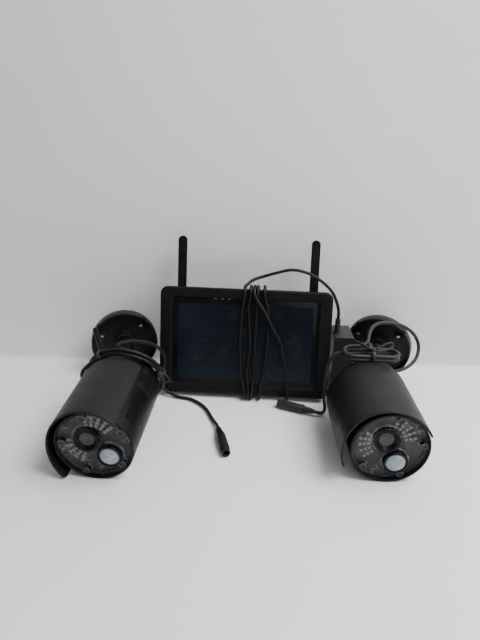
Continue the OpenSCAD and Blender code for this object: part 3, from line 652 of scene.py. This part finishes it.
# ---------------------------------------------------------------- bullet cameras
for s in ("left", "right"):
    body = f"{s}_camera"
    H = HEAD[s]

    # hood: one curved sheet with rounded edges, its front edge raked
    nphi, ny = 72, 26
    vs, fs = [], []
    A = 89.3
    for i in range(nphi + 1):
        p = -A + 2 * A * i / nphi
        a = math.radians(p)
        r = 41.2
        z = r * math.cos(a)
        yf = -15 + (z + 60) * 0.1405
        e = max(0.0, (abs(p) - (A - 7)) / 7)
        yf += 4.2 * (1 - math.sqrt(max(0.0, 1 - e * e)))
        yb = 91.0 - 2.2 * (1 - math.sqrt(max(0.0, 1 - e * e)))
        for j in range(ny + 1):
            t = j / ny
            y = yf + (yb - yf) * t
            vs.append((-3.4 + r * math.sin(a), y, z))
    k = ny + 1
    for i in range(nphi):
        for j in range(ny):
            fs.append((i * k + j, (i + 1) * k + j, (i + 1) * k + j + 1, i * k + j + 1))
    me = mesh("hood", vs, fs, H)
    o = obj(f"{s}_hood_shell", me, "shade_black", body)
    so = o.modifiers.new("thick", "SOLIDIFY")
    so.thickness = 0.0020
    so.offset = 0.0
    soften(o, 0.8, 3, 40, weld=False)
    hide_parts(f"{s}_sunshade")

    # seal between tube rim and window
    me = lathe([(34.75, 0.9), (34.95, 0.45), (35.4, 0.2), (35.9, 0.1), (36.35, 0.3), (36.45, 0.8), (36.45, 1.6), (34.75, 1.6), (34.75, 0.9)], H, 120)
    obj(f"{s}_face_seal", me, "housing_black", body)

    # lamps: ceramic squares with a yellow phosphor pad
    vs, fs, mi = [], [], []

    def pad(mx, hw, y0, y1, mat_i):
        base = len(vs)
        for yy, q in ((y0, hw), (y1 + 0.12, hw), (y1, hw - 0.18)):
            for x, z in ((-q, -q), (q, -q), (q, q), (-q, q)):
                vs.append(tuple(mx @ Vector((x, yy, z))))
        for lv in range(2):
            for j in range(4):
                fs.append((base + lv * 4 + j, base + lv * 4 + (j + 1) % 4, base + lv * 4 + 4 + (j + 1) % 4, base + lv * 4 + 4 + j))
                mi.append(mat_i)
        fs.append((base + 8, base + 9, base + 10, base + 11))
        mi.append(mat_i)

    for sgn in (-1, 1):
        for i in range(5):
            for row in range(3):
                if row == 2 and i == 0:
                    continue
                mx = T(0, 0, 4.9) @ R(sgn * (42 + 15.5 * i), "Y") @ T(0, 0, 16.9 + 4.0 * row)
                pad(mx, 1.42, 6.3, 5.35, 0)
                pad(mx @ T(0, 0, 0), 1.12, 5.45, 5.12, 1)
    me = mesh("lamps", vs, fs, H, fix=False)
    for p, m_ in zip(me.polygons, mi):
        p.material_index = m_
    o = obj(f"{s}_lamp_array", me, ["led_body", "phosphor"], body, smooth=False)
    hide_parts(f"{s}_ir_leds")

    # motion sensor: domed Fresnel lens with hexagonal facets
    vs, fs = [], []
    nr, na = 44, 132
    for i in range(nr + 1):
        rr = 9.6 * i / nr
        for j in range(na):
            a = 2 * math.pi * j / na
            x, z = rr * math.sin(a), rr * math.cos(a)
            # nearest hexagon centre
            g1 = 2.9
            best = 9e9
            row0 = round(z / (g1 * 0.866))
            for rw in (row0 - 1, row0, row0 + 1):
                off = 0.5 * g1 if rw % 2 else 0.0
                cx = round((x - off) / g1) * g1 + off
                best = min(best, (x - cx) ** 2 + (z - rw * g1 * 0.866) ** 2)
            lens = 0.34 * max(0.0, 1 - best / (0.577 * g1) ** 2)
            y = 9.2 - math.sqrt(max(0.0, 12.35 ** 2 - rr * rr)) - lens
            vs.append((x, y, z))
    for i in range(nr):
        for j in range(na):
            fs.append((i * na + j, i * na + (j + 1) % na, (i + 1) * na + (j + 1) % na, (i + 1) * na + j))
    me = mesh("dome", vs, fs, H @ T(0, 0, -16.7))
    o = obj(f"{s}_sensor_lens", me, "pir_lens", body)
    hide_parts(f"{s}_pir_dome")
    me = lathe([(9.5, 2.4), (9.5, 0.4), (9.7, -0.2), (10.15, -0.45), (10.9, -0.3), (11.5, 0.3), (11.7, 1.35), (10.2, 1.45), (10.1, 6.2), (9.5, 6.2), (9.5, 2.4)],
               H @ T(0, 0, -16.7), 96)
    obj(f"{s}_sensor_ring", me, "lens_black", body)

    # lens: stepped baffle and a flat inner disc round the objective
    prof = [(11.6, 1.2), (11.2, 0.3), (10.6, 0.2), (9.9, 0.9), (9.3, 1.6), (9.0, 1.6), (8.9, 2.2), (8.2, 2.3), (8.1, 3.0), (7.4, 3.1), (7.3, 3.8), (6.2, 4.0)]
    me = lathe(prof, H @ T(0, 0, 8.9), 96)
    obj(f"{s}_lens_baffle", me, "lens_black", body)
    me = lathe([(7.35, 4.2), (7.2, 3.6), (6.7, 3.25), (5.0, 3.15), (4.85, 3.4), (4.55, 3.4), (4.4, 3.15), (2.3, 3.05), (2.15, 3.3), (0.0, 3.35)], H @ T(0, 0, 8.9), 80)
    obj(f"{s}_lens_inner_disc", me, "lens_disc", body)

    # clear bosses round the screws, pale grey arcs round the screws and the sensor, and a pale grey arc round the lens
    # that is a painted highlight
    for i in range(5):
        mx = H @ R(36 + 72 * i, "Y") @ T(0, 0, 30.6)
        me = lathe([(2.3, 2.4), (2.3, 1.25), (2.55, 0.95), (3.3, 0.95), (3.6, 1.25), (3.6, 1.5)], mx, 40)
        obj(f"{s}_screw_boss_{i}", me, "boss_clear", body)
        # pale arc part way round the screw
        me = lathe([(3.5, 6.25), (3.7, 5.7), (4.3, 5.5), (4.8, 5.8), (4.9, 6.25)], mx, 48, 20 + 50 * i, 190 + 50 * i,
                   wob=lambda a, j: 0.35 * math.sin(a * 5 + j) + 0.2 * math.sin(a * 11))
        obj(f"{s}_pale_arc_run_{i}", me, "glue", body)
    # painted highlight: a pale arc on the lens rim, its span set for each camera
    me = lathe([(12.6, 6.25), (12.8, 5.6), (13.5, 5.3), (14.3, 5.6), (14.6, 6.25)], H @ T(0, 0, 8.9), 96, -75 if s == "left" else -150, 75 if s == "left" else 60,
               wob=lambda a, j: 0.45 * math.sin(a * 7 + j) + 0.25 * math.sin(a * 17))
    obj(f"{s}_lens_highlight_arc", me, "glue", body)
    # pale arc most of the way round the sensor
    me = lathe([(11.0, 6.25), (11.2, 5.4), (12.0, 5.0), (13.0, 5.4), (13.3, 6.25)], H @ T(0, 0, -16.7), 96, 30, 330,
               wob=lambda a, j: 0.5 * math.sin(a * 6 + j * 0.7) + 0.3 * math.sin(a * 19 + 1))
    obj(f"{s}_sensor_pale_arc", me, "glue", body)

    me = lathe([(34.55, 4.3), (34.6, 4.6), (33.6, 5.4), (32.2, 6.35), (31.7, 6.6), (31.9, 6.2), (33.2, 5.1), (34.4, 4.25), (34.55, 4.3)], H, 140)
    obj(f"{s}_mask_rim", me, "face_mask", body)

# ---------------------------------------------------------------- ties on the leads
def tube_mesh(pts, r, mx, n=10, k=6, closed=False):
    q = catmull(pts, k) if not closed else catmull(pts + pts[:1], k)[:-1]
    m = len(q)
    side = Vector((0.3, 0.2, 1)).normalized()
    vs, fs = [], []
    for i in range(m):
        a = q[(i + 1) % m if closed else min(i + 1, m - 1)]
        b = q[(i - 1) % m if closed else max(i - 1, 0)]
        t = (a - b).normalized()
        side = (side - t * side.dot(t)).normalized()
        up = t.cross(side)
        for j in range(n):
            an = 2 * math.pi * j / n
            vs.append(tuple(q[i] + r * (math.cos(an) * side + math.sin(an) * up)))
    for i in range(m if closed else m - 1):
        for j in range(n):
            fs.append((i * n + j, i * n + (j + 1) % n, ((i + 1) % m) * n + (j + 1) % n, ((i + 1) % m) * n + j))
    if not closed:
        fs.append(tuple(range(n)))
        fs.append(tuple((m - 1) * n + j for j in range(n)))
    return mesh("tube", vs, fs, mx)


BAND = [(4.7, -1.7), (5.3, -1.9), (5.75, -1.3), (5.85, 0), (5.75, 1.3), (5.3, 1.9), (4.7, 1.7), (4.55, 0), (4.7, -1.7)]
for i, ph in enumerate((76.0, -34.0)):
    mx = RING @ R(ph, "Y") @ T(0, 0, RING_R + (0.6 if i else 0)) @ R(-90, "Z")
    obj(f"left_tie_{i}", lathe(BAND, mx, 40), "rubber_tie", "left_camera")
mx = RING @ R(76, "Y") @ T(0, 0, RING_R)
for i, pts in enumerate(([(0, -3, 4.6), (3, -5, 7.4), (8, -6, 8.2), (10.5, -6.5, 5), (7, -6, 2.6), (2.5, -5, 3.2)],
                         [(0, -3, 4.6), (-3, -6, 6.4), (-8, -8, 6.4), (-10, -9, 3), (-6.6, -8, 1.2), (-2.4, -5.5, 3.0)])):
    obj(f"left_tie_loop_{i}", tube_mesh([Vector(v) for v in pts], 0.8, mx, closed=True), "rubber_tie", "left_camera")

HK = KIT @ T(138, 500.9, 0) @ Matrix(((0, 1, 0, 0), (1, 0, 0, 0), (0, 0, 1, 0), (0, 0, 0, 1)))
band = [rr_loop(13.1, 73.15, 87.0, 4.6, -2.2), rr_loop(13.9, 72.9, 87.8, 5.2, -1.8), rr_loop(14.0, 72.9, 87.95, 5.3, 0), rr_loop(13.9, 72.9, 87.8, 5.2, 1.8),
        rr_loop(13.1, 73.15, 87.0, 4.6, 2.2), rr_loop(12.7, 73.2, 86.6, 4.3, 1.6), rr_loop(12.6, 73.2, 86.5, 4.2, 0), rr_loop(12.7, 73.2, 86.6, 4.3, -1.6)]
obj("right_tie", loft(band, HK, closed=True), "rubber_tie", "right_camera")
HC = KIT @ T(138, 493, 88)
for i, pts in enumerate(([(0, 0, 0), (6, 1, 3), (13, 3, 6), (19, 5, 6.5), (20, 3, 3), (14, 0.5, 1.0), (6, -1, -0.4)],
                         [(0, 0, 0), (-5, 2, 2.4), (-12, 7, 4.4), (-17, 13, 4.2), (-15, 16, 1.6), (-9, 11, 0.2), (-4, 3, -0.2)])):
    obj(f"right_tie_loop_{i}", tube_mesh([Vector(v) for v in pts], 1.0, HC, closed=True), "grey_jacket", "right_camera")
obj("right_tie_knot", lathe([(0.0, -2.6), (1.6, -2.3), (2.5, -1.0), (2.7, 0), (2.5, 1.0), (1.6, 2.3), (0.0, 2.6)], HC @ R(35, "Z"), 20,
                            wob=lambda a, j: 0.3 * math.sin(a * 3 + j)), "grey_jacket", "right_camera")

# ---------------------------------------------------------------- monitor
loops = [
    rr_loop(98, 0, 123.5, 8, 8), rr_loop(98, 0, 123.5, 8, 2.2), rr_loop(97.85, 0.15, 123.35, 7.9, 1.3), rr_loop(97.4, 0.6, 122.9, 7.5, 0.55),
    rr_loop(96.7, 1.3, 122.2, 6.9, 0.14), rr_loop(95.8, 2.2, 121.3, 6.2, 0.02), rr_loop(85.6, 9.2, 114.7, 5.0, 0.32),
    rr_loop(84.2, 10.6, 113.4, 3.9, 0.55), rr_loop(83.5, 11.25, 112.75, 3.3, 1.0), rr_loop(83.2, 11.5, 112.5, 3.0, 1.7), rr_loop(83.2, 11.5, 112.5, 3.0, 3.4),
    rr_loop(80.3, 15, 111, 2, 3.5), rr_loop(80.3, 15, 111, 2, 8),
]
me = loft(loops, MON, closed=True)
o = obj("bezel", me, "frame_black", "monitor")
smooth_by_angle(o, 40)
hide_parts("front_frame")

# picture area, a hair in front of the cover glass
gl = [rr_loop(77.4, 18.6, 105.4, 0.9, 1.62, 4), rr_loop(77.4, 18.6, 105.4, 0.9, 1.56, 4), rr_loop(77.2, 18.8, 105.2, 0.8, 1.53, 4)]
me = loft(gl, MON, cap1=True)
obj("picture_area", me, "lcd", "monitor", smooth=False)

# three small status windows in the dark margin above the picture
for i, u in enumerate((-35, -27, -19)):
    gl = [rr_loop(1.5, 111.0, 112.2, 0.5, 1.62, 4), rr_loop(1.5, 111.0, 112.2, 0.5, 1.55, 4), rr_loop(1.35, 111.15, 112.05, 0.42, 1.5, 4)]
    obj(f"status_window_{i}", loft(gl, MON @ T(u, 0, 0), cap1=True), "status_window", "monitor", smooth=False)

# ---------------------------------------------------------------- stage and light
def m_stage(name, a, b, rough):
    n = Net(name)
    col = n.mix(n.ramp(n.noise(3.0, 4), 0.3, 0.7), a, b)
    return n.done(col, None, n.bump(n.noise(60, 3), 0.0002, 0.25), Roughness=rough, Specular_IOR_Level=0.3)


M["floor"] = m_stage("floor_paper", (0.74, 0.74, 0.755), (0.79, 0.79, 0.805), 0.6)
box_hi = max(CAD_BOX[1][1] + 0.004, 0.108)
me = bpy.data.meshes.new("stage_floor")
prof = [(-3.0, 0.0), (box_hi - 0.004, 0.0), (box_hi - 0.0015, 0.0008), (box_hi, 0.004), (box_hi + 0.02, 1.6)]
vs = [(x, y, z - 0.0002) for x in (-3, 3) for y, z in prof]
me.from_pydata(vs, [], [(j, j + 1, len(prof) + j + 1, len(prof) + j) for j in range(len(prof) - 1)])
floor = bpy.data.objects.new("stage_floor", me)
bpy.context.scene.collection.objects.link(floor)
me.materials.append(M["floor"])


def area(name, loc, size, power, target, color=(1, 1, 1)):
    ld = bpy.data.lights.new(name, "AREA")
    ld.shape = "RECTANGLE"
    ld.size, ld.size_y = size
    ld.energy = power
    ld.color = color
    o = bpy.data.objects.new(name, ld)
    bpy.context.scene.collection.objects.link(o)
    o.location = loc
    o.rotation_mode = "QUATERNION"
    o.rotation_quaternion = (Vector(target) - Vector(loc)).to_track_quat("-Z", "Y")
    return o


area("top_soft", (0.80, -0.30, 1.35), (1.1, 0.9), 44, (0.12, -0.02, 0))
area("front_soft", (0.5, -1.3, 1.0), (1.0, 0.8), 4, (0, 0, 0.05))
w = bpy.data.worlds.new("soft_world")
bpy.context.scene.world = w
w.use_nodes = True
w.node_tree.nodes["Background"].inputs[0].default_value = (0.86, 0.87, 0.90, 1)
w.node_tree.nodes["Background"].inputs[1].default_value = 0.24
